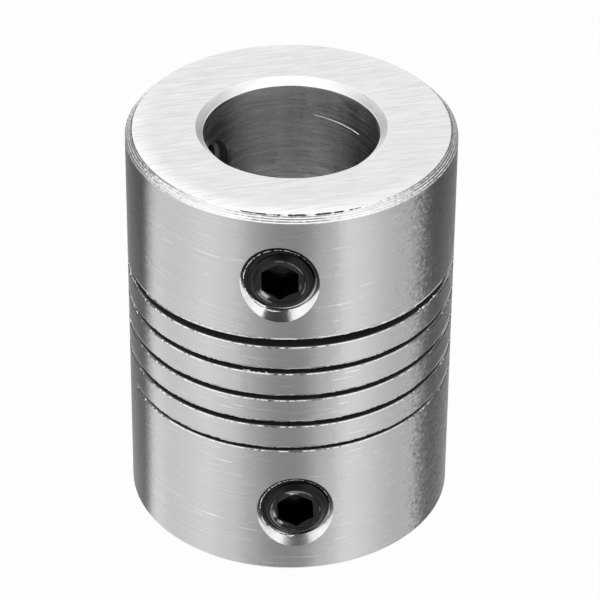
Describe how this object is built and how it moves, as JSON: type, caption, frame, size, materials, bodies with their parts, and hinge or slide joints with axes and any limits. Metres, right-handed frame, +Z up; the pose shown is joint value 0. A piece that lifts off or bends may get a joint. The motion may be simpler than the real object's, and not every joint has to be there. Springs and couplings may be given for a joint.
{
  "type": "flexible shaft coupling",
  "caption": "Round metal coupling with a spiral slit that lets it flex, a through bore for the shafts and set screws that clamp them.",
  "frame": {"origin": "middle of the lower end face, which the coupling stands on", "axes": "+Z up along the bore, -Y towards the front screws"},
  "size_m": [0.019, 0.019, 0.025],
  "materials": {
    "body_metal": "turned aluminium, satin, with sanded end faces",
    "screw_metal": "black oxide on steel, a little worn at the edges"
  },
  "bodies": {
    "root": {"coupling_body": "body_metal", "upper_front_set_screw": "screw_metal", "upper_side_set_screw": "screw_metal", "lower_front_set_screw": "screw_metal", "lower_side_set_screw": "screw_metal"}
  },
  "joints": []
}
